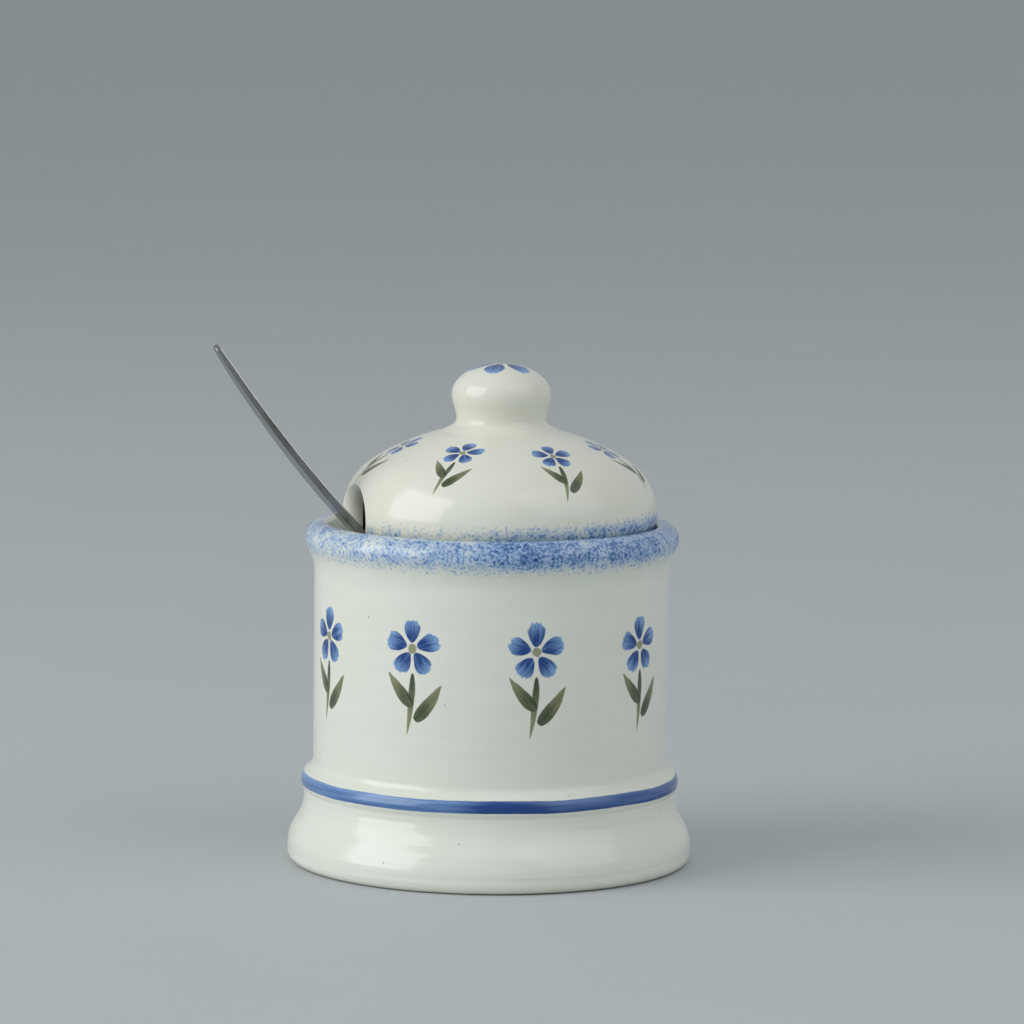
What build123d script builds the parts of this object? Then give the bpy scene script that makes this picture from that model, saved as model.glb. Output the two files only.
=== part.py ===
"""Lidded jam pot with a spoon standing in it, made as three pieces: pot, lid and spoon.

Millimetres, +Z up. The origin is the middle of the foot's rest face. The spoon leans in the XZ
plane, out towards -X through a notch in the lid's edge.
"""
import os

from build123d import *
from math import acos, asin, atan2, cos, degrees, hypot, radians, sin, sqrt, tan

os.makedirs("parts", exist_ok=True)

# Pot wall and floor
wall_radius = 43.8
wall_thickness = 4.3
pot_height = 84.3
floor_thickness = 5.5
floor_corner = 6.0

# Foot: its flare, its rest face and the hollow under the floor
foot_flare = 6.2
foot_edge = 2.5
foot_belly_height = 4.3
foot_ring_width = 7.5
base_recess = 2.5
recess_corner = 1.2

# Waist above the foot, and the round bead above the waist
waist_step = 2.2
waist_height = 16.2
bead_reach = 2.95
bead_round = 3.4
bead_height = 20.1
bead_under_cove = 1.2
bead_over_cove = 2.5

# Rolled rim, and the ledge inside it that carries the lid
rim_overhang = 2.4
rim_round = 4.0
rim_cove = 12.0
rim_width = 5.7
rim_inner_edge = 1.5
ledge_depth = 4.5
ledge_width = 7.5
ledge_thickness = 4.0
ledge_slope = 6.0
ledge_edge = 1.2
ledge_under_cove = 4.0

# Lid: loose in the rim, and pushed over by the spoon until far_gap is left
lid_play = 3.5
far_gap = 1.5
seat_width = 3.0
seat_height = 2.2
seat_edge = 1.0
belly_reach = 1.9
belly_roll = 6.0
belly_cove = 1.0
shoulder_round = 15.5
dome_height = 28.9
lid_wall = 4.0

# Knob, hollow from below
knob_radius = 12.3
knob_half_height = 7.7
knob_fullness = 0.56
knob_rise = 7.0
neck_radius = 11.1
neck_lift = 1.4
neck_flare = 3.3
neck_turn = 0.8
neck_cove = 1.0
knob_well_radius = 6.2
knob_well_depth = 13.0
knob_well_edge = 2.0

# Spoon: an oval bowl, a rising neck and an arched flat handle
spoon_length = 158.0
bowl_length = 46.0
bowl_width = 30.0
bowl_depth = 8.0
bowl_sheet = 1.2
neck_rise = 16.0
neck_thickness = 2.2
neck_width = 5.0
neck_run = 12.0
heel_width = 11.0
handle_arch = 310.0
handle_width = 9.2
handle_end_thickness = 1.1
handle_end_run = 46.0
handle_end_round = 2.0
handle_end_turn = 65.0
spoon_edge = 0.3
tip_gap = 1.0
spoon_gap = 0.4
notch_gap = 3.5
notch_flare = 5.0

# Places on the pot
foot_radius = wall_radius + foot_flare
rest_radius = foot_radius - foot_edge
ring_radius = rest_radius - foot_ring_width
waist_radius = wall_radius + waist_step
bead_centre = wall_radius + bead_reach - bead_round
bead_bottom = bead_height - sqrt(bead_round**2 - (waist_radius - bead_centre) ** 2)
bead_top = bead_height + sqrt(bead_round**2 - (wall_radius - bead_centre) ** 2)
inner_radius = wall_radius - wall_thickness
floor_height = base_recess + floor_thickness
rim_radius = wall_radius + rim_overhang
rim_centre = rim_radius - rim_round
rim_centre_height = pot_height - rim_round
rim_bottom = rim_centre_height - sqrt(rim_round**2 - (wall_radius - rim_centre) ** 2)
gallery_radius = rim_radius - rim_width
gallery_top = rim_centre_height + sqrt(rim_round**2 - (gallery_radius - rim_centre) ** 2)
ledge_height = pot_height - ledge_depth
ledge_radius = gallery_radius - ledge_width
ledge_bottom = ledge_height - ledge_thickness

# Places on the lid, whose axis stands at lid_shift
lid_shift = lid_play - far_gap
seat_radius = gallery_radius - lid_play
seat_inner = seat_radius - seat_width
belly_radius = seat_radius + belly_reach
roll_start = ledge_height + seat_height
belly_z = roll_start + sqrt(belly_roll**2 - (belly_roll - belly_reach) ** 2)
dome_z = ledge_height + dome_height
shoulder_centre = belly_radius - shoulder_round
crown_lift = dome_z - shoulder_round - belly_z
crown_drop = (shoulder_centre**2 - crown_lift**2) / (2 * crown_lift)
crown_z = belly_z - crown_drop
crown_round = dome_z - crown_z
crown_angle = atan2(crown_drop, shoulder_centre)
under_shoulder = shoulder_round - lid_wall
under_crown = crown_round - lid_wall
seat_top = belly_z + sqrt(under_shoulder**2 - (seat_inner - shoulder_centre) ** 2)
flare_radius = neck_radius + neck_flare
flare_z = crown_z + sqrt(crown_round**2 - flare_radius**2)
neck_z = dome_z + neck_lift
knob_z = dome_z + knob_rise
knob_top = knob_z + knob_half_height
well_top = dome_z - lid_wall + knob_well_depth

# The spoon's side view, along its bowl's lip and out to its front, from the tip of the bowl
bowl_half = bowl_length / 2
bowl_sweep = (bowl_half**2 + bowl_depth**2) / (2 * bowl_depth)
bowl_axis = ((bowl_width / 2) ** 2 - bowl_depth**2) / (2 * bowl_depth)
rise = radians(neck_rise)
drop_start = bowl_half + bowl_sweep * sin(rise)
drop_depth = bowl_sweep * cos(rise) - (bowl_sweep - bowl_depth)
heel_start = drop_start + (drop_depth - neck_thickness / cos(rise)) / tan(rise)
arch_s = heel_start + handle_arch * sin(rise)
arch_h = -handle_arch * cos(rise)
end_fall = asin((spoon_length + handle_width - arch_s) / handle_arch)
end_s = arch_s + handle_arch * sin(end_fall)
end_h = arch_h + handle_arch * cos(end_fall)
end_turn = radians(handle_end_turn)
round_s = spoon_length - handle_end_round * (1 - cos(end_turn))
round_y = handle_end_round * sin(end_turn)
back_s = end_s - handle_end_thickness * sin(end_fall)
back_h = end_h - handle_end_thickness * cos(end_fall)
neck_s = heel_start + neck_thickness * sin(rise)
neck_h = -neck_thickness * cos(rise)
hollow_sweep = bowl_sweep - bowl_sheet
hollow_start = bowl_half - sqrt(hollow_sweep**2 - (bowl_sweep - bowl_depth) ** 2)

# How the spoon stands: tip just over the floor, handle just off the ledge's round edge
tip_x = inner_radius - floor_corner - tip_gap
tip_z = floor_height + spoon_gap
edge_x = -sqrt((ledge_radius + ledge_edge) ** 2 - (neck_width / 2) ** 2)
edge_z = ledge_height - ledge_edge
tip_to_arch = hypot(arch_s, arch_h)
tip_to_edge = hypot(edge_x - tip_x, edge_z - tip_z)
arch_to_edge = handle_arch + ledge_edge + spoon_gap
tip_angle = acos((tip_to_arch**2 + tip_to_edge**2 - arch_to_edge**2) / (2 * tip_to_arch * tip_to_edge))
spoon_angle = atan2(edge_z - tip_z, edge_x - tip_x) - tip_angle - atan2(arch_h, arch_s)
spoon_x = Vector(cos(spoon_angle), 0, sin(spoon_angle))
spoon_front = Vector(-sin(spoon_angle), 0, cos(spoon_angle))
spoon_tip = Vector(tip_x, 0, tip_z)
spoon_top = Plane(origin=spoon_tip, x_dir=spoon_x, z_dir=spoon_front)
spoon_side = Plane(origin=spoon_tip, x_dir=spoon_x, z_dir=(0, -1, 0))
bowl_line = Axis(spoon_tip + spoon_front * bowl_axis, spoon_x)

# The handle's line where it crosses the ledge, and the notch round it where it leaves the lid
arch_middle = spoon_tip + spoon_x * arch_s + spoon_front * arch_h
ledge_front = (Vector(edge_x, 0, edge_z) - arch_middle).normalized()
draw_direction = Vector(ledge_front.Z, 0, -ledge_front.X)
crossing = arch_middle + ledge_front * (handle_arch - neck_thickness / 2)
notch_radius = neck_width / 2 + notch_gap
notch_z = crossing.Z + (lid_shift - belly_radius - crossing.X) * draw_direction.Z / draw_direction.X
notch_line = Axis((lid_shift, 0, notch_z), (-1, 0, 0))
notch_plane = Plane(origin=(lid_shift, 0, notch_z), x_dir=(-1, 0, 0), z_dir=(0, 0, -1))
mouth_radius = notch_radius + notch_flare
mouth_x = sqrt(belly_radius**2 - mouth_radius**2)


def round_corners(corners):
    """Fillet the corners of the sketch being drawn, each given as its place and its radius."""
    for place, radius in corners:
        fillet(vertices().sort_by_distance(place)[0], radius)


# Pot, turned in one piece
with BuildPart() as pot:
    with BuildSketch(Plane.XZ):
        with BuildLine():
            Polyline((0, base_recess), (ring_radius, base_recess), (ring_radius, 0), (rest_radius, 0))
            RadiusArc((rest_radius, 0), (foot_radius, foot_edge), -foot_edge)
            Line((foot_radius, foot_edge), (foot_radius, foot_belly_height))
            Spline(
                (foot_radius, foot_belly_height),
                (waist_radius, waist_height),
                tangents=((0, 1), (0, 1)),
            )
            Line((waist_radius, waist_height), (waist_radius, bead_bottom))
            ThreePointArc(
                (waist_radius, bead_bottom),
                (bead_centre + bead_round, bead_height),
                (wall_radius, bead_top),
            )
            Line((wall_radius, bead_top), (wall_radius, rim_bottom))
            ThreePointArc(
                (wall_radius, rim_bottom),
                (rim_radius, rim_centre_height),
                (gallery_radius, gallery_top),
            )
            Polyline(
                (gallery_radius, gallery_top),
                (gallery_radius, ledge_height),
                (ledge_radius, ledge_height),
                (ledge_radius, ledge_bottom),
                (inner_radius, ledge_bottom - ledge_slope),
                (inner_radius, floor_height),
                (0, floor_height),
                (0, base_recess),
            )
        make_face()
        round_corners(
            (
                ((ring_radius, base_recess), recess_corner),
                ((ring_radius, 0), recess_corner),
                ((waist_radius, bead_bottom), bead_under_cove),
                ((wall_radius, bead_top), bead_over_cove),
                ((wall_radius, rim_bottom), rim_cove),
                ((gallery_radius, gallery_top), rim_inner_edge),
                ((ledge_radius, ledge_height), ledge_edge),
                ((ledge_radius, ledge_bottom), ledge_edge),
                ((inner_radius, ledge_bottom - ledge_slope), ledge_under_cove),
                ((inner_radius, floor_height), floor_corner),
            )
        )
    revolve(axis=Axis.Z)

pot.part.label = "pot"
export_step(pot.part, "parts/pot.step")

# Lid with its knob, one hollow piece, notched for the spoon
with BuildPart() as lid:
    with BuildSketch(Plane(origin=(lid_shift, 0, 0), x_dir=(1, 0, 0), z_dir=(0, -1, 0))):
        with BuildLine():
            Polyline((seat_inner, seat_top), (seat_inner, ledge_height), (seat_radius, ledge_height))
            Line((seat_radius, ledge_height), (seat_radius, roll_start))
            RadiusArc((seat_radius, roll_start), (belly_radius, belly_z), -belly_roll)
            CenterArc((shoulder_centre, belly_z), shoulder_round, 0, degrees(crown_angle))
            flare_angle = atan2(flare_z - crown_z, flare_radius)
            CenterArc((0, crown_z), crown_round, degrees(crown_angle), degrees(flare_angle - crown_angle))
            Spline((flare_radius, flare_z), (neck_radius, neck_z), tangents=((-1, neck_turn), (0, 1)))
            Spline((neck_radius, neck_z), (knob_radius, knob_z), tangents=((0, 1), (0, 1)))
            Bezier(
                (knob_radius, knob_z),
                (knob_radius, knob_z + knob_fullness * knob_half_height),
                (knob_fullness * knob_radius, knob_top),
                (0, knob_top),
            )
            well_z = crown_z + sqrt(under_crown**2 - knob_well_radius**2)
            Polyline(
                (0, knob_top),
                (0, well_top),
                (knob_well_radius, well_top),
                (knob_well_radius, well_z),
            )
            well_angle = atan2(well_z - crown_z, knob_well_radius)
            CenterArc((0, crown_z), under_crown, degrees(crown_angle), degrees(well_angle - crown_angle))
            seat_angle = atan2(seat_top - belly_z, seat_inner - shoulder_centre)
            CenterArc(
                (shoulder_centre, belly_z),
                under_shoulder,
                degrees(seat_angle),
                degrees(crown_angle - seat_angle),
            )
        make_face()
        round_corners(
            (
                ((seat_inner, ledge_height), seat_edge),
                ((seat_radius, ledge_height), seat_edge),
                ((seat_radius, roll_start), belly_cove),
                ((flare_radius, flare_z), neck_cove),
                ((knob_well_radius, well_top), knob_well_edge),
                ((knob_well_radius, well_z), knob_well_edge),
            )
        )
    revolve(axis=Axis((lid_shift, 0, 0), (0, 0, 1)))
    with BuildSketch(notch_plane) as notch_half:
        with BuildLine():
            Polyline((0, 0), (0, notch_radius), (mouth_x - notch_flare, notch_radius))
            RadiusArc((mouth_x - notch_flare, notch_radius), (mouth_x, mouth_radius), -notch_flare)
            Polyline((mouth_x, mouth_radius), (rim_radius, mouth_radius), (rim_radius, 0), (0, 0))
        make_face()
    revolve(axis=notch_line, mode=Mode.SUBTRACT)
    with BuildSketch(notch_plane):
        add(notch_half.sketch_local)
        mirror(about=Plane.XZ)
    extrude(amount=notch_z, mode=Mode.SUBTRACT)

lid.part.label = "lid"
export_step(lid.part, "parts/lid.step")

# Spoon, pressed from one bar: first its handle, as wide as the top view and as thick as the side view
with BuildPart() as handle:
    with BuildSketch(spoon_side):
        with BuildLine():
            ThreePointArc((heel_start, 0), (arch_s, arch_h + handle_arch), (end_s, end_h))
            Line((end_s, end_h), (back_s, back_h))
            TangentArc((neck_s, neck_h), (back_s, back_h), tangent=(cos(rise), sin(rise)))
            Polyline((neck_s, neck_h), (drop_start, -drop_depth), (drop_start, 0), (heel_start, 0))
        make_face()
    extrude(amount=bowl_width / 2, both=True)
    with BuildSketch(spoon_top):
        with BuildLine():
            Line((drop_start, 0), (drop_start, heel_width / 2))
            Spline(
                (drop_start, heel_width / 2),
                (heel_start + neck_run, neck_width / 2),
                (spoon_length - handle_end_run, handle_width / 2),
                tangents=((1, 0), (1, 0)),
            )
            Spline(
                (spoon_length - handle_end_run, handle_width / 2),
                (round_s, round_y),
                tangents=((1, 0), (sin(end_turn), -cos(end_turn))),
                tangent_scalars=(1, handle_width / handle_end_run),
            )
            mirror(about=Plane.XZ)
            ThreePointArc((round_s, round_y), (spoon_length, 0), (round_s, -round_y))
        make_face()
    extrude(amount=bowl_width, both=True, mode=Mode.INTERSECT)
    fillet(edges().filter_by(lambda edge: edge.length > handle_end_run), spoon_edge)

# Then its bowl, a round dish cut off at the lip, joined to the handle and hollowed
with BuildPart() as spoon:
    with BuildSketch(spoon_side):
        with BuildLine():
            ThreePointArc((0, 0), (bowl_half, -bowl_depth), (bowl_length, 0))
            Polyline((bowl_length, 0), (bowl_length, bowl_axis), (0, bowl_axis), (0, 0))
        make_face()
    revolve(axis=bowl_line)
    split(bisect_by=spoon_top, keep=Keep.BOTTOM)
    add(handle.part)
    with BuildSketch(spoon_side):
        with BuildLine():
            ThreePointArc((hollow_start, 0), (bowl_half, bowl_sheet - bowl_depth), (bowl_length - hollow_start, 0))
            Polyline(
                (bowl_length - hollow_start, 0),
                (bowl_length - hollow_start, bowl_axis),
                (hollow_start, bowl_axis),
                (hollow_start, 0),
            )
        make_face()
    revolve(axis=bowl_line, mode=Mode.SUBTRACT)

spoon.part.label = "spoon"
export_step(spoon.part, "parts/spoon.step")
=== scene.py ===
"""Finish of a glazed jam pot with its lid and spoon, and the studio around it.

Laid out as an add-on and run as a script. Lengths on the pieces are millimetres, and those of the
stage are metres.
"""
import math

import bpy
from bpy.props import FloatProperty, FloatVectorProperty, IntProperty, PointerProperty
from mathutils import Matrix, Vector


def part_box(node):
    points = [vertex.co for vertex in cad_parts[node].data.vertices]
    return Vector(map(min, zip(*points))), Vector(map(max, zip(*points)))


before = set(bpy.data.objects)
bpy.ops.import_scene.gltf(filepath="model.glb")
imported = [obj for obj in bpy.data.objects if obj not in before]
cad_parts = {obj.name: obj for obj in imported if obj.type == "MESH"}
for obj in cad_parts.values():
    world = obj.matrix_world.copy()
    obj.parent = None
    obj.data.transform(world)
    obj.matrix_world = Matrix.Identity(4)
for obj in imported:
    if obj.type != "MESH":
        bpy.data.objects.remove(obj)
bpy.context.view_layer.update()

bl_info = {
    "name": "Jam pot finish",
    "version": (1, 0, 0),
    "blender": (4, 5, 0),
    "location": "3D View > Sidebar > Jam pot",
    "description": "Glaze, painting and steel for a jam pot, and a studio around it",
    "category": "Material",
}

MM = 1000.0
TURN = 2 * math.pi


def in_tenths(length):
    """A length of the frame in millimetres, to a tenth, as facets make a round piece a hair small."""
    return round(length * MM, 1)


# The clay pieces' own sizes
POT_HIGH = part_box("pot")[1]
LID_LOW, LID_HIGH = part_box("lid")
FOOT_REACH = in_tenths(POT_HIGH.x)
POT_TOP = in_tenths(POT_HIGH.z)
LID_SEAT = in_tenths(LID_LOW.z)
LID_TOP = in_tenths(LID_HIGH.z)
LID_EDGE = in_tenths(LID_HIGH.x)
LID_AXIS = LID_EDGE - in_tenths(LID_HIGH.y)

# Where the pot is painted, ribbed or bare. A pair is where a soft edge starts and where it ends
WALL_MIDDLE = 50.0
WALL_SPRIG_TURN = 0.2
FOOT_RIBS = (18.0, 13.0)
LINE_HEIGHT = 20.7
LINE_WIDTH = 3.0
LINE_START = -1.8
RIM_BAND = (POT_TOP - 9.3, POT_TOP - 3.7)
RIM_INSIDE = (LID_EDGE + 0.3, LID_EDGE + 1.2)
RIM_STRENGTH = 0.66
BARE_HEIGHT = (0.45, 0.15)
BARE_REACH = (FOOT_REACH - 11.5, FOOT_REACH - 10.5)
BARE_ROUGHNESS = 0.6

# Where the lid is painted. For its sprigs, the dome is an arc about a ring of this reach and height
LID_MIDDLE = 80.0
DOME_REACH = 8.0
DOME_HEIGHT = 76.0
DOME_RADIUS = 33.0
LID_SPRIG_CLIMB = 27.5
LID_SPRIG_TURN = 0.5
LID_SPRIG_SCALE = 0.74
NECK = (LID_SEAT + 27.8, LID_SEAT + 26.8)
KNOB_CAP = (LID_TOP - 6.4, LID_TOP - 5.4)
KNOB_FLOWER = 8.0
LID_BAND = (LID_SEAT + 8.8, LID_SEAT + 5.0)
LID_BAND_TILT = 0.025
LID_STRENGTH = 0.54
LID_STRENGTH_GAIN = 0.004
NOTCH_SIDE = (8.5, 10.0)
NOTCH_END = (-30.0, -26.0)

# The brush strokes of one sprig, with the lean in radians
PETALS = 5
FLOWER_SIZE = 7.0
FLOWER_ALONG = 8.0
STROKES = (
    dict(Start_Across=0.0, Start_Along=2.2, Lean=math.pi, Length=15.5, Width=1.7, Bend=1.6),
    dict(Start_Across=0.5, Start_Along=-9.5, Lean=0.8, Length=11.5, Width=3.3, Bend=-1.6),
    dict(Start_Across=0.2, Start_Along=-6.0, Lean=-0.85, Length=10.5, Width=3.1, Bend=1.5),
)

# Which way the spoon's handle points along X and Z, and how deep its polish lines are in metres
SPOON_X = -0.6
SPOON_Z = 0.8
POLISH_DEPTH = 0.00002

# The camera's place in front of the pot
CAMERA_AZIMUTH = math.radians(-17.0)
CAMERA_DISTANCE = 1.2
CAMERA_HEIGHT = 0.2231
CAMERA_YAW = 0.00402828
CAMERA_PITCH = 0.1131975
CAMERA_ROLL = 0.01113258
CAMERA_LENS = 172.12
CAMERA_SENSOR = 36.0

# The studio. A lamp's place is given from the camera's side: to its right, away from it, and up
FLOOR_HALF = 60.0
FLOOR_DIM = 0.97
SKY_COLOUR = (0.93, 0.98, 1.0, 1.0)
KEY_PLACE = (-1.85, -0.78, 0.94)
KEY_SIZE = 1.8
FILL_PLACE = (1.6, -1.0, 1.7)
FILL_SIZE = 2.4
LAMP_AIM = (0.0, 0.0, 0.06)


class Wire:
    """A number that runs through a node tree. Arithmetic on it places Math nodes."""

    def __init__(self, tree, socket):
        self.tree = tree
        self.socket = socket

    def __add__(self, other):
        return calc("ADD", self, other)

    def __sub__(self, other):
        return calc("SUBTRACT", self, other)

    def __rsub__(self, other):
        return calc("SUBTRACT", other, self)

    def __mul__(self, other):
        return calc("MULTIPLY", self, other)

    def __truediv__(self, other):
        return calc("DIVIDE", self, other)

    __radd__ = __add__
    __rmul__ = __mul__


def feed(socket, value):
    """Link a wire to a socket, or set the socket to a plain value."""
    if isinstance(value, Wire):
        value.tree.links.new(value.socket, socket)
    else:
        socket.default_value = value


def calc(operation, *values):
    """A Math node on wires and plain numbers."""
    tree = next(value.tree for value in values if isinstance(value, Wire))
    node = tree.nodes.new("ShaderNodeMath")
    node.operation = operation
    for socket, value in zip(node.inputs, values):
        feed(socket, value)
    return Wire(tree, node.outputs[0])


def largest(wires):
    """The largest of some numbers."""
    result = wires[0]
    for wire in wires[1:]:
        result = calc("MAXIMUM", result, wire)
    return result


def swing(value, size):
    """A number between 0 and 1 turned into one that swings about zero, this far in all."""
    return (value - 0.5) * size


def step(value, start, end):
    """0 before start and 1 after end, smooth between. A start above the end turns it round."""
    node = value.tree.nodes.new("ShaderNodeMapRange")
    node.interpolation_type = "SMOOTHSTEP"
    feed(node.inputs["Value"], value)
    feed(node.inputs["From Min"], start)
    feed(node.inputs["From Max"], end)
    return Wire(value.tree, node.outputs["Result"])


def filled(edge, softness):
    """1 where the distance to an edge is below zero and 0 above it, softened on both sides."""
    return step(edge, softness, -softness)


def vector(x, y, z):
    """Three numbers joined into a vector."""
    tree = next(value.tree for value in (x, y, z) if isinstance(value, Wire))
    node = tree.nodes.new("ShaderNodeCombineXYZ")
    for socket, value in zip(node.inputs, (x, y, z)):
        feed(socket, value)
    return Wire(tree, node.outputs[0])


def parts(value):
    """The three numbers of a vector."""
    node = value.tree.nodes.new("ShaderNodeSeparateXYZ")
    feed(node.inputs[0], value)
    return [Wire(value.tree, output) for output in node.outputs]


def noise(place, grain, detail=2.0, roughness=0.5):
    """Soft noise between 0 and 1 whose features are about grain millimetres across."""
    node = place.tree.nodes.new("ShaderNodeTexNoise")
    feed(node.inputs["Vector"], place)
    node.inputs["Scale"].default_value = 1 / grain
    node.inputs["Detail"].default_value = detail
    node.inputs["Roughness"].default_value = roughness
    return Wire(place.tree, node.outputs[0])


def to_nearest_speck(place, spacing):
    """How far it is to the nearest of many random points, in millimetres."""
    node = place.tree.nodes.new("ShaderNodeTexVoronoi")
    feed(node.inputs["Vector"], place)
    node.inputs["Scale"].default_value = 1 / spacing
    return Wire(place.tree, node.outputs["Distance"]) * spacing


def chance(number):
    """Three random numbers that belong to a number."""
    node = number.tree.nodes.new("ShaderNodeTexWhiteNoise")
    node.noise_dimensions = "1D"
    feed(node.inputs["W"], number)
    return parts(Wire(number.tree, node.outputs["Color"]))


def blend(share, first, second):
    """A colour between two colours."""
    node = share.tree.nodes.new("ShaderNodeMix")
    node.data_type = "RGBA"
    feed(node.inputs[0], share)
    for socket, value in zip(node.inputs[6:8], (first, second)):
        feed(socket, value if isinstance(value, Wire) else (*value, 1.0))
    return Wire(share.tree, node.outputs[2])


def new_group(name, given, results):
    """An empty node group, its incoming wires by name and its output node."""
    tree = bpy.data.node_groups.new(name, "ShaderNodeTree")
    for label, value in given.items():
        kind = "NodeSocketVector" if value is None else "NodeSocketFloat"
        socket = tree.interface.new_socket(label, in_out="INPUT", socket_type=kind)
        if value is not None:
            socket.default_value = value
    for label, kind in results.items():
        tree.interface.new_socket(label, in_out="OUTPUT", socket_type="NodeSocket" + kind)
    source = tree.nodes.new("NodeGroupInput")
    sink = tree.nodes.new("NodeGroupOutput")
    return tree, {label: Wire(tree, source.outputs[label]) for label in given}, sink


def finish_group(sink, **results):
    """Lead wires to a group's outputs; underscores stand for spaces."""
    for label, value in results.items():
        feed(sink.inputs[label.replace("_", " ")], value)


def place_group(tree, name, **values):
    """A node group in a tree, fed with these values. Gives its outgoing wires by name."""
    node = tree.nodes.new("ShaderNodeGroup")
    node.node_tree = bpy.data.node_groups[name]
    for label, value in values.items():
        feed(node.inputs[label.replace("_", " ")], value)
    return {output.name: Wire(tree, output) for output in node.outputs}


def make_surface_place():
    """Where a point of the clay lies: its place, height, reach from the axis and angle round it.

    Outside is 1 where the surface faces away from the middle.
    """
    tree, given, sink = new_group(
        "Surface Place",
        {"Axis": 0.0, "Middle": WALL_MIDDLE},
        {
            "Place": "Vector",
            "Height": "Float",
            "Reach": "Float",
            "Angle": "Float",
            "Outside": "Float",
        },
    )
    source = tree.nodes.new("ShaderNodeTexCoord")
    x, y, z = [number * MM for number in parts(Wire(tree, source.outputs["Object"]))]
    x = x - given["Axis"]
    reach = calc("SQRT", x * x + y * y)
    normal_x, normal_y, normal_z = parts(Wire(tree, source.outputs["Normal"]))
    facing = normal_x * x + normal_y * y + normal_z * (z - given["Middle"])
    finish_group(
        sink,
        Place=vector(x, y, z),
        Height=z,
        Reach=reach,
        Angle=calc("ARCTAN2", y, x),
        Outside=calc("GREATER_THAN", facing, 0.0),
    )


def make_motif_ring():
    """Repeats a painted motif round an axis. Each one sways and tilts a little, as a hand sets it."""
    tree, given, sink = new_group(
        "Motif Ring",
        {
            "Angle": 0.0,
            "Reach": 40.0,
            "Along": 0.0,
            "Count": 8.0,
            "Turn": 0.0,
            "Sway": 1.0,
            "Tilt": 0.2,
            "Scale": 1.0,
        },
        {"Across": "Float", "Along": "Float", "Motif": "Float"},
    )
    turned = (given["Angle"] + given["Turn"]) * given["Count"] / TURN
    nearest = calc("ROUND", turned)
    motif = calc("FLOORED_MODULO", nearest, given["Count"])
    seed = motif + given["Count"] * 7.3
    chance_tilt, chance_across, chance_along = chance(seed)
    across = (turned - nearest) * TURN / given["Count"] * given["Reach"]
    across = (across + swing(chance_across, given["Sway"])) / given["Scale"]
    along = (given["Along"] + swing(chance_along, given["Sway"])) / given["Scale"]
    tilt = swing(chance_tilt, given["Tilt"])
    cosine, sine = calc("COSINE", tilt), calc("SINE", tilt)
    finish_group(
        sink,
        Across=across * cosine + along * sine,
        Along=along * cosine - across * sine,
        Motif=motif,
    )


def make_round_flower():
    """A flower of brush dabs round a heart, its first dab upwards.

    The lengths that it works with are shares of its size.
    """
    tree, given, sink = new_group(
        "Round Flower",
        {"Across": 0.0, "Along": 0.0, "Size": FLOWER_SIZE, "Motif": 0.0},
        {"Petals": "Float", "Shade": "Float", "Heart": "Float"},
    )
    across, along, motif = given["Across"], given["Along"], given["Motif"]
    distance = calc("SQRT", across * across + along * along) / given["Size"]
    angle = calc("ARCTAN2", across, along)
    dab = calc("ROUND", angle * PETALS / TURN)
    turn = angle - dab * (TURN / PETALS)
    out = distance * calc("COSINE", turn)
    side = distance * calc("SINE", turn)
    hairs = noise(vector(out * 1.4, side * 11, dab * 3.1 + motif * 5.7), 1.0, 2.0)
    wobble = noise(vector(out * 2, side * 2, dab * 2.3 + motif * 1.9), 1.0, 1.0)
    middle, half_length = 0.6, 0.4
    half_width = out * 0.27 + 0.13
    oval = calc("POWER", (out - middle) / half_length, 2.0) + calc("POWER", side / half_width, 2.0)
    ragged_tip = (hairs - 0.5) * step(out, 0.5, 1.0) * 1.1
    edge = oval - 1 + ragged_tip + swing(wobble, 0.7)
    finish_group(
        sink,
        Petals=filled(edge, 0.16),
        Shade=step(out, 1.1, 0.35) * 0.95 + (hairs - 0.45) * 1.7,
        Heart=step(distance + swing(wobble, 0.1), 0.19, 0.13),
    )


def make_leaf_stroke():
    """One brush stroke that swells from its start and runs out to a point, bent a little."""
    tree, given, sink = new_group(
        "Leaf Stroke",
        {
            "Across": 0.0,
            "Along": 0.0,
            "Start Across": 0.0,
            "Start Along": 0.0,
            "Lean": 0.0,
            "Length": 10.0,
            "Width": 3.0,
            "Bend": 0.0,
        },
        {"Stroke": "Float", "Shade": "Float"},
    )
    across = given["Across"] - given["Start Across"]
    along = given["Along"] - given["Start Along"]
    cosine, sine = calc("COSINE", given["Lean"]), calc("SINE", given["Lean"])
    share = (across * sine + along * cosine) / given["Length"]
    side = across * cosine - along * sine - given["Bend"] * share * share
    inside = calc("MAXIMUM", calc("MINIMUM", share, 1.0), 0.0)
    # With this factor the stroke is as wide as Width says where it is widest, at a third of its length
    swell = 1.3
    half_width = given["Width"] * swell * calc("SQRT", inside) * (1 - inside)
    hairs = noise(vector(share * 2.5, side * 1.4, given["Lean"] * 3), 1.0, 2.0)
    edge = calc("ABSOLUTE", side) - half_width + swing(hairs, 0.5)
    ends = step(share, -0.01, 0.03) * step(share, 1.0, 0.96)
    finish_group(
        sink,
        Stroke=filled(edge, 0.16) * ends,
        Shade=step(share, 1.05, 0.1) * 0.9 + (hairs - 0.55) * 1.2,
    )


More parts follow.
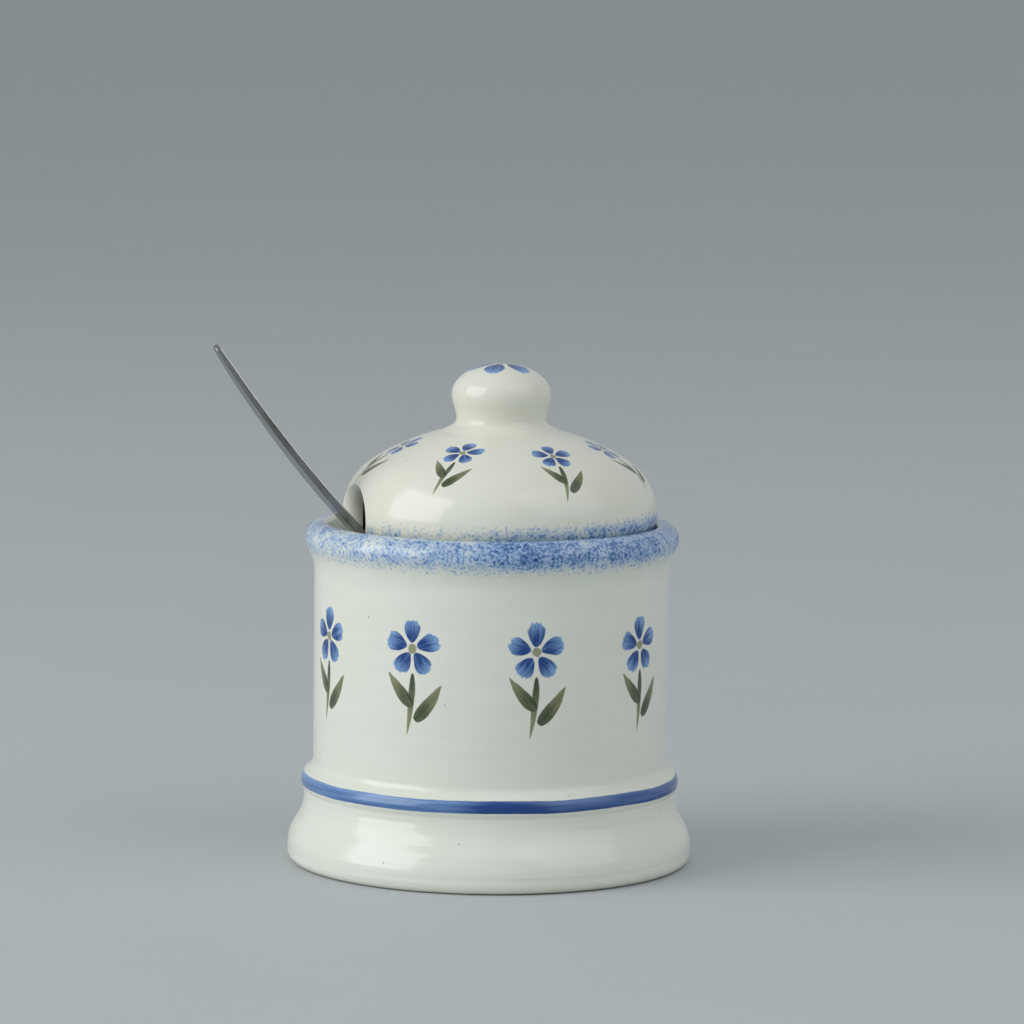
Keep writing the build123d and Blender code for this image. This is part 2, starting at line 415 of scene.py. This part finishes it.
def make_flower_sprig():
    """A round flower on a short stem between two leaves."""
    tree, given, sink = new_group(
        "Flower Sprig",
        {"Across": 0.0, "Along": 0.0, "Motif": 0.0},
        {
            "Blue": "Float",
            "Blue Shade": "Float",
            "Green": "Float",
            "Green Shade": "Float",
            "Heart": "Float",
        },
    )
    across, along = given["Across"], given["Along"]
    flower = place_group(
        tree,
        "Round Flower",
        Across=across,
        Along=along - FLOWER_ALONG,
        Size=FLOWER_SIZE,
        Motif=given["Motif"],
    )
    leaves = [
        place_group(tree, "Leaf Stroke", Across=across, Along=along, **stroke) for stroke in STROKES
    ]
    finish_group(
        sink,
        Blue=flower["Petals"],
        Blue_Shade=flower["Shade"],
        Green=largest([leaf["Stroke"] for leaf in leaves]),
        Green_Shade=largest([leaf["Stroke"] * leaf["Shade"] for leaf in leaves]),
        Heart=flower["Heart"],
    )


def make_sponge_band():
    """Colour dabbed on with a sponge: dense in patches, thinning to single grains."""
    tree, given, sink = new_group(
        "Sponge Band",
        {"Place": None, "Cover": 0.0, "Strength": 0.6},
        {"Sponge": "Float", "Shade": "Float"},
    )
    place = given["Place"]
    patches = noise(place, 19.0, 1.0)
    dabs = noise(place, 3.2, 2.0)
    grains = noise(place, 0.74, 2.0, 0.55)
    dense = (given["Strength"] + swing(patches, 1.0) + swing(dabs, 0.9)) * given["Cover"]
    level = dense + swing(grains, 2.2)
    dots = step(level, 0.05, 0.9)
    wash = step(dense, 0.12, 0.8) * 0.75
    inside = step(given["Cover"], 0.0, 0.2)
    finish_group(
        sink,
        Sponge=calc("MAXIMUM", dots, wash) * inside,
        Shade=step(level, 0.45, 1.5),
    )


def make_brush_line():
    """A line drawn round the turning pot with one load of the brush, which closes over its start."""
    tree, given, sink = new_group(
        "Brush Line",
        {"Place": None, "Middle": LINE_HEIGHT, "Width": LINE_WIDTH, "Start": 0.0},
        {"Line": "Float", "Shade": "Float"},
    )
    x, y, z = parts(given["Place"])
    wander = noise(vector(x, y, 0.0), 26.0, 1.0)
    edges = noise(given["Place"], 2.5, 1.0)
    streaks = noise(vector(x * 0.045, y * 0.045, z * 1.1), 1.0, 3.0)
    run = calc("FLOORED_MODULO", calc("ARCTAN2", y, x) - given["Start"], TURN) / TURN
    spent = run * 0.4
    first_touch = step(run, 0.05, 0.02) * 0.3
    overlap = step(run, 0.95, 1.0) * 0.7
    load = 0.9 - spent + first_touch + overlap
    rise = z - given["Middle"] + swing(wander, 0.9)
    edge = calc("ABSOLUTE", rise) - given["Width"] / 2 + swing(edges, 0.18)
    thin_top = step(rise, 0.2, 1.4) * 0.3
    finish_group(
        sink,
        Line=filled(edge, 0.12),
        Shade=load - thin_top + swing(streaks, 0.9),
    )


def make_glaze_body():
    """A hand-dipped glaze: soft drifts of colour, a slow wave, changes in its gloss, and specks."""
    tree, given, sink = new_group(
        "Glaze Body",
        {"Place": None, "Ribs": 0.0},
        {"Drift": "Float", "Wave": "Float", "Roughness": "Float", "Specks": "Float"},
    )
    place = given["Place"]
    x, y, z = parts(place)
    # Squeezing x and y draws the noise out round the pot, as turning does
    rings = noise(vector(x * 0.12, y * 0.12, z), 5.0, 1.0)
    ribs = noise(vector(x * 0.03, y * 0.03, z), 2.6, 1.0)
    swells = noise(place, 13.0, 1.0)
    drifts = noise(place, 24.0, 2.0)
    gloss = noise(place, 4.0, 2.0)
    finish_group(
        sink,
        Drift=step(drifts, 0.25, 0.75),
        Wave=rings * 0.9 + swells * 0.9 + ribs * given["Ribs"],
        Roughness=0.12 + gloss * 0.08,
        Specks=step(to_nearest_speck(place, 10.0), 0.42, 0.2),
    )


def make_steel_rub_and_highlight():
    """Fine lines along the spoon from its last polish, small scratches of use, and a painted highlight
    on its edges.
    """
    tree, given, sink = new_group(
        "Steel Rub and Highlight",
        {"Lines": 1.0, "Scratches": 1.0},
        {"Roughness": "Float", "Height": "Float", "Tone": "Float", "Edge": "Float"},
    )
    source = tree.nodes.new("ShaderNodeTexCoord")
    normal_x, normal_y, normal_z = parts(Wire(tree, source.outputs["Normal"]))
    front = normal_x * SPOON_Z - normal_z * SPOON_X
    x, y, z = [number * MM for number in parts(Wire(tree, source.outputs["Object"]))]
    run = x * SPOON_X + z * SPOON_Z
    depth = x * SPOON_Z - z * SPOON_X
    lines = noise(vector(run * 0.05, y * 4.0, depth * 4.0), 1.0, 3.0)
    smears = noise(vector(run * 0.5, y, depth), 6.0, 2.0)
    scuffs = noise(vector(run * 1.6 + y * 2.0, y * 0.35 - run * 0.3, depth), 1.2, 1.0)
    scratch = step(scuffs, 0.66, 0.72) * given["Scratches"]
    finish_group(
        sink,
        Roughness=0.14 + lines * given["Lines"] * 0.13 + smears * 0.08 + scratch * 0.10,
        Height=lines * given["Lines"] + scratch * 0.5,
        Tone=step(lines * 0.5 + smears * 0.5, 0.3, 0.7),
        # Painted highlight: marks the edges that face forward and partly sideways, which get a pale
        # steel colour
        Edge=step(front, 0.15, 0.5) * step(calc("ABSOLUTE", normal_y), 0.2, 0.5),
    )


GROUP_MAKERS = (
    make_surface_place,
    make_motif_ring,
    make_round_flower,
    make_leaf_stroke,
    make_flower_sprig,
    make_sponge_band,
    make_brush_line,
    make_glaze_body,
    make_steel_rub_and_highlight,
)


class GlazeSettings(bpy.types.PropertyGroup):
    """The cream glaze and the bare clay under the foot."""

    cream: FloatVectorProperty(
        name="Cream",
        description="Glaze where it lies thick",
        subtype="COLOR",
        default=(0.79, 0.815, 0.74),
    )
    warm: FloatVectorProperty(
        name="Warm cream",
        description="Glaze where it drifts thin",
        subtype="COLOR",
        default=(0.785, 0.785, 0.675),
    )
    clay: FloatVectorProperty(
        name="Clay",
        description="Bare clay of the foot ring",
        subtype="COLOR",
        default=(0.52, 0.43, 0.32),
    )
    dark_clay: FloatVectorProperty(
        name="Dark clay",
        description="Specks in the clay and the glaze",
        subtype="COLOR",
        default=(0.38, 0.30, 0.21),
    )
    wave: FloatProperty(
        name="Wave",
        description="How far the surface waves",
        unit="LENGTH",
        default=0.0003,
        min=0.0,
    )


class PaintSettings(bpy.types.PropertyGroup):
    """The underglaze colours, and how many sprigs stand round the pot and the lid."""

    blue: FloatVectorProperty(
        name="Blue",
        description="Thick blue",
        subtype="COLOR",
        default=(0.008, 0.052, 0.235),
    )
    pale_blue: FloatVectorProperty(
        name="Pale blue",
        description="Thin blue",
        subtype="COLOR",
        default=(0.22, 0.39, 0.68),
    )
    green: FloatVectorProperty(
        name="Green",
        description="Thick green",
        subtype="COLOR",
        default=(0.028, 0.056, 0.028),
    )
    olive: FloatVectorProperty(
        name="Olive",
        description="Thin green",
        subtype="COLOR",
        default=(0.25, 0.255, 0.135),
    )
    wall_motifs: IntProperty(
        name="Wall motifs",
        description="Sprigs round the wall",
        default=9,
        min=1,
    )
    lid_motifs: IntProperty(
        name="Lid motifs",
        description="Sprigs round the lid",
        default=7,
        min=1,
    )


class SteelSettings(bpy.types.PropertyGroup):
    """The spoon's steel."""

    bright: FloatVectorProperty(
        name="Bright steel",
        description="Steel along its lines",
        subtype="COLOR",
        default=(0.29, 0.305, 0.305),
    )
    dull: FloatVectorProperty(
        name="Dull steel",
        description="Steel between its lines",
        subtype="COLOR",
        default=(0.17, 0.18, 0.18),
    )
    # Painted highlight: a pale colour laid on the spoon's forward-facing edges
    edge: FloatVectorProperty(
        name="Painted edge highlight",
        description="Painted highlight along the steel's edges",
        subtype="COLOR",
        default=(0.80, 0.80, 0.78),
    )


class StageSettings(bpy.types.PropertyGroup):
    """The studio."""

    floor: FloatVectorProperty(
        name="Floor",
        description="Colour of the floor",
        subtype="COLOR",
        default=(0.52, 0.56, 0.575),
    )
    key_power: FloatProperty(
        name="Key",
        description="Power of the lamp on the left",
        unit="POWER",
        default=29.5,
    )
    fill_power: FloatProperty(
        name="Fill",
        description="Power of the lamp on the right",
        unit="POWER",
        default=13.0,
    )
    sky: FloatProperty(
        name="Sky",
        description="Strength of the light all round",
        default=0.45,
    )


class JamPotSettings(bpy.types.PropertyGroup):
    """All settings of the jam pot."""

    glaze: PointerProperty(type=GlazeSettings, name="Glaze", description="Glaze and clay")
    paint: PointerProperty(type=PaintSettings, name="Paint", description="Colours and sprigs")
    steel: PointerProperty(type=SteelSettings, name="Steel", description="The spoon's steel")
    stage: PointerProperty(type=StageSettings, name="Stage", description="Floor and light")


def new_material(name):
    """A material, its node tree and its shader node."""
    material = bpy.data.materials.new(name)
    material.use_nodes = True
    return material, material.node_tree, material.node_tree.nodes["Principled BSDF"]


def put_on(node_name, material):
    """Give a piece its material."""
    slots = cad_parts[node_name].material_slots
    if not slots:
        raise RuntimeError(f"{node_name} has no material slot")
    for slot in slots:
        slot.material = material


def add_bump(tree, shader, height, distance):
    """Let a height wave the surface, this many metres far."""
    bump = tree.nodes.new("ShaderNodeBump")
    bump.inputs["Distance"].default_value = distance
    feed(bump.inputs["Height"], height)
    tree.links.new(bump.outputs["Normal"], shader.inputs["Normal"])


def paint_over(colour, paint, blue=None, green=None, heart=None):
    """Lay painted masks over a colour. Blue and green are a mask and its shade, heart is a mask."""
    if green:
        colour = blend(green[0], colour, blend(green[1], paint.olive, paint.green))
    if blue:
        colour = blend(blue[0], colour, blend(blue[1], paint.pale_blue, paint.blue))
    if heart:
        colour = blend(heart * 0.9, colour, paint.olive)
    return colour


def glaze_base(tree, shader, settings, place, warmth, ribs=0.0):
    """The plain glaze: waves the surface, and gives its colour and roughness.

    Warmth is how far the colour leans to the warm one, and ribs how strongly fine ribs show.
    """
    body = place_group(tree, "Glaze Body", Place=place["Place"], Ribs=ribs)
    shader.inputs["IOR"].default_value = 1.5
    add_bump(tree, shader, body["Wave"], settings.glaze.wave)
    colour = blend(body["Drift"] * 0.5 + warmth, settings.glaze.cream, settings.glaze.warm)
    colour = blend(body["Specks"] * 0.6, colour, settings.glaze.dark_clay)
    return colour, body["Roughness"]


def sprig_ring(tree, place, along, count, turn, scale):
    """A ring of sprigs on a turned surface, painted on its outside only."""
    ring = place_group(
        tree,
        "Motif Ring",
        Angle=place["Angle"],
        Reach=place["Reach"],
        Along=along,
        Count=float(count),
        Turn=turn,
        Sway=1.6,
        Tilt=0.22,
        Scale=scale,
    )
    sprig = place_group(
        tree, "Flower Sprig", Across=ring["Across"], Along=ring["Along"], Motif=ring["Motif"]
    )
    for label in ("Blue", "Green", "Heart"):
        sprig[label] = sprig[label] * place["Outside"]
    return sprig


class JAMPOT_OT_glaze_pot(bpy.types.Operator):
    """Glaze the pot, with its sponged rim, its line and its sprigs"""

    bl_idname = "jampot.glaze_pot"
    bl_label = "Glaze the pot"

    def execute(self, context):
        settings = context.scene.jam_pot
        paint = settings.paint
        material, tree, shader = new_material("Pot glaze")
        place = place_group(tree, "Surface Place", Axis=0.0, Middle=WALL_MIDDLE)
        height, reach = place["Height"], place["Reach"]
        foot_ribs = step(height, *FOOT_RIBS)
        colour, roughness = glaze_base(tree, shader, settings, place, warmth=0.0, ribs=foot_ribs)
        along = height - WALL_MIDDLE
        sprig = sprig_ring(tree, place, along, paint.wall_motifs, turn=WALL_SPRIG_TURN, scale=1.0)
        colour = paint_over(
            colour,
            paint,
            blue=(sprig["Blue"], sprig["Blue Shade"]),
            green=(sprig["Green"], sprig["Green Shade"]),
            heart=sprig["Heart"],
        )
        cover = step(height, *RIM_BAND) * step(reach, *RIM_INSIDE)
        sponge = place_group(
            tree, "Sponge Band", Place=place["Place"], Cover=cover, Strength=RIM_STRENGTH
        )
        colour = paint_over(colour, paint, blue=(sponge["Sponge"], sponge["Shade"]))
        line = place_group(
            tree,
            "Brush Line",
            Place=place["Place"],
            Middle=LINE_HEIGHT,
            Width=LINE_WIDTH,
            Start=LINE_START,
        )
        line_mask = line["Line"] * place["Outside"]
        colour = paint_over(colour, paint, blue=(line_mask, line["Shade"]))
        bare = step(height, *BARE_HEIGHT) * step(reach, *BARE_REACH)
        specks = step(noise(place["Place"], 1.2, 3.0), 0.4, 0.7)
        clay = blend(specks, settings.glaze.clay, settings.glaze.dark_clay)
        feed(shader.inputs["Base Color"], blend(bare, colour, clay))
        feed(shader.inputs["Roughness"], roughness + bare * BARE_ROUGHNESS)
        put_on("pot", material)
        return {"FINISHED"}


class JAMPOT_OT_glaze_lid(bpy.types.Operator):
    """Glaze the lid, with its sponged edge, its sprigs and the flower on its knob"""

    bl_idname = "jampot.glaze_lid"
    bl_label = "Glaze the lid"

    def execute(self, context):
        settings = context.scene.jam_pot
        paint = settings.paint
        material, tree, shader = new_material("Lid glaze")
        place = place_group(tree, "Surface Place", Axis=LID_AXIS, Middle=LID_MIDDLE)
        height, reach = place["Height"], place["Reach"]
        colour, roughness = glaze_base(tree, shader, settings, place, warmth=0.5)
        climb = calc("ARCTAN2", height - DOME_HEIGHT, reach - DOME_REACH)
        along = climb * DOME_RADIUS - LID_SPRIG_CLIMB
        sprig = sprig_ring(
            tree, place, along, paint.lid_motifs, turn=LID_SPRIG_TURN, scale=LID_SPRIG_SCALE
        )
        below_neck = step(height, *NECK)
        colour = paint_over(
            colour,
            paint,
            blue=(sprig["Blue"] * below_neck, sprig["Blue Shade"]),
            green=(sprig["Green"] * below_neck, sprig["Green Shade"]),
            heart=sprig["Heart"] * below_neck,
        )
        x, y, _ = parts(place["Place"])
        top = place_group(tree, "Round Flower", Across=x, Along=y, Size=KNOB_FLOWER, Motif=3.0)
        on_knob = step(height, *KNOB_CAP) * place["Outside"]
        colour = paint_over(
            colour,
            paint,
            blue=(top["Petals"] * on_knob, top["Shade"]),
            heart=top["Heart"] * on_knob,
        )
        beside_notch = calc(
            "MAXIMUM", step(calc("ABSOLUTE", y), *NOTCH_SIDE), step(x, *NOTCH_END)
        )
        cover = step(height - x * LID_BAND_TILT, *LID_BAND) * place["Outside"] * beside_notch
        strength = x * LID_STRENGTH_GAIN + LID_STRENGTH
        sponge = place_group(
            tree, "Sponge Band", Place=place["Place"], Cover=cover, Strength=strength
        )
        colour = paint_over(colour, paint, blue=(sponge["Sponge"], sponge["Shade"]))
        feed(shader.inputs["Base Color"], colour)
        feed(shader.inputs["Roughness"], roughness)
        put_on("lid", material)
        return {"FINISHED"}


class JAMPOT_OT_polish_spoon(bpy.types.Operator):
    """Polish the spoon"""

    bl_idname = "jampot.polish_spoon"
    bl_label = "Polish the spoon"

    def execute(self, context):
        settings = context.scene.jam_pot.steel
        material, tree, shader = new_material("Spoon steel")
        rub_and_highlight = place_group(tree, "Steel Rub and Highlight", Lines=1.0, Scratches=1.0)
        shader.inputs["Metallic"].default_value = 1.0
        colour = blend(rub_and_highlight["Tone"], settings.dull, settings.bright)
        # The painted highlight on the spoon's edges goes over the steel's colour
        feed(shader.inputs["Base Color"], blend(rub_and_highlight["Edge"], colour, settings.edge))
        feed(shader.inputs["Roughness"], rub_and_highlight["Roughness"])
        add_bump(tree, shader, rub_and_highlight["Height"], POLISH_DEPTH)
        put_on("spoon", material)
        return {"FINISHED"}


class JAMPOT_OT_set_stage(bpy.types.Operator):
    """Set the floor, the lamps and the camera"""

    bl_idname = "jampot.set_stage"
    bl_label = "Set the stage"

    def execute(self, context):
        scene = context.scene
        settings = scene.jam_pot.stage
        self.lay_floor(scene, settings)
        self.light_sky(scene, settings)
        self.hang_lamp(scene, "Key lamp", KEY_PLACE, KEY_SIZE, settings.key_power)
        self.hang_lamp(scene, "Fill lamp", FILL_PLACE, FILL_SIZE, settings.fill_power)
        self.aim_camera(scene)
        scene.view_settings.view_transform = "Standard"
        return {"FINISHED"}

    def lay_floor(self, scene, settings):
        """A wide plain floor under the foot."""
        half = FLOOR_HALF
        mesh = bpy.data.meshes.new("Floor")
        corners = [(-half, -half, 0), (half, -half, 0), (half, half, 0), (-half, half, 0)]
        mesh.from_pydata(corners, [], [(0, 1, 2, 3)])
        floor = bpy.data.objects.new("Floor", mesh)
        scene.collection.objects.link(floor)
        material, tree, shader = new_material("Floor paper")
        source = tree.nodes.new("ShaderNodeTexCoord")
        place = vector(*[number * MM for number in parts(Wire(tree, source.outputs["Object"]))])
        shade = noise(place, 60.0, 2.0)
        dim = [channel * FLOOR_DIM for channel in settings.floor]
        feed(shader.inputs["Base Color"], blend(shade, dim, settings.floor))
        shader.inputs["Roughness"].default_value = 0.75
        mesh.materials.append(material)

    def light_sky(self, scene, settings):
        """An even light from all round."""
        world = bpy.data.worlds.new("Studio")
        world.use_nodes = True
        background = world.node_tree.nodes["Background"]
        background.inputs["Color"].default_value = SKY_COLOUR
        background.inputs["Strength"].default_value = settings.sky
        scene.world = world

    def hang_lamp(self, scene, name, place, size, power):
        """A square soft lamp that looks at the pot."""
        lamp = bpy.data.lights.new(name, "AREA")
        lamp.shape = "SQUARE"
        lamp.size = size
        lamp.energy = power
        holder = bpy.data.objects.new(name, lamp)
        holder.location = Matrix.Rotation(CAMERA_AZIMUTH, 3, "Z") @ Vector(place)
        aim = Vector(LAMP_AIM) - holder.location
        holder.rotation_euler = aim.to_track_quat("-Z", "Y").to_euler()
        scene.collection.objects.link(holder)

    def aim_camera(self, scene):
        """The camera, turned, tipped and rolled as in the photograph."""
        ahead = Vector(
            (
                math.sin(CAMERA_YAW) * math.cos(CAMERA_PITCH),
                math.cos(CAMERA_YAW) * math.cos(CAMERA_PITCH),
                -math.sin(CAMERA_PITCH),
            )
        )
        right = Vector((math.cos(CAMERA_YAW), -math.sin(CAMERA_YAW), 0))
        up = right.cross(ahead)
        roll = Matrix.Rotation(CAMERA_ROLL, 3, ahead)
        axes = Matrix((roll.inverted() @ right, roll.inverted() @ up, -ahead)).transposed()
        turn = Matrix.Rotation(CAMERA_AZIMUTH, 3, "Z")
        camera = bpy.data.cameras.new("Camera")
        camera.sensor_width = CAMERA_SENSOR
        camera.lens = CAMERA_LENS
        holder = bpy.data.objects.new("Camera", camera)
        place = Vector((0, -CAMERA_DISTANCE, CAMERA_HEIGHT))
        holder.matrix_world = Matrix.Translation(turn @ place) @ (turn @ axes).to_4x4()
        scene.collection.objects.link(holder)
        scene.camera = holder


class JAMPOT_PT_panel(bpy.types.Panel):
    """The jam pot's settings and steps"""

    bl_label = "Jam pot"
    bl_idname = "JAMPOT_PT_panel"
    bl_space_type = "VIEW_3D"
    bl_region_type = "UI"
    bl_category = "Jam pot"

    def draw(self, context):
        settings = context.scene.jam_pot
        for group in (settings.glaze, settings.paint, settings.steel, settings.stage):
            box = self.layout.box()
            for name in group.__annotations__:
                box.prop(group, name)
        for operator in OPERATORS:
            self.layout.operator(operator.bl_idname)


SETTINGS = (GlazeSettings, PaintSettings, SteelSettings, StageSettings, JamPotSettings)
OPERATORS = (JAMPOT_OT_glaze_pot, JAMPOT_OT_glaze_lid, JAMPOT_OT_polish_spoon, JAMPOT_OT_set_stage)
CLASSES = (*SETTINGS, *OPERATORS, JAMPOT_PT_panel)


def register():
    for cls in CLASSES:
        bpy.utils.register_class(cls)
    bpy.types.Scene.jam_pot = PointerProperty(
        type=JamPotSettings, name="Jam pot", description="All settings of the jam pot"
    )


def unregister():
    del bpy.types.Scene.jam_pot
    for cls in reversed(CLASSES):
        bpy.utils.unregister_class(cls)


def main():
    register()
    for make in GROUP_MAKERS:
        make()
    bpy.ops.jampot.glaze_pot()
    bpy.ops.jampot.glaze_lid()
    bpy.ops.jampot.polish_spoon()
    bpy.ops.jampot.set_stage()


if __name__ == "__main__":
    main()
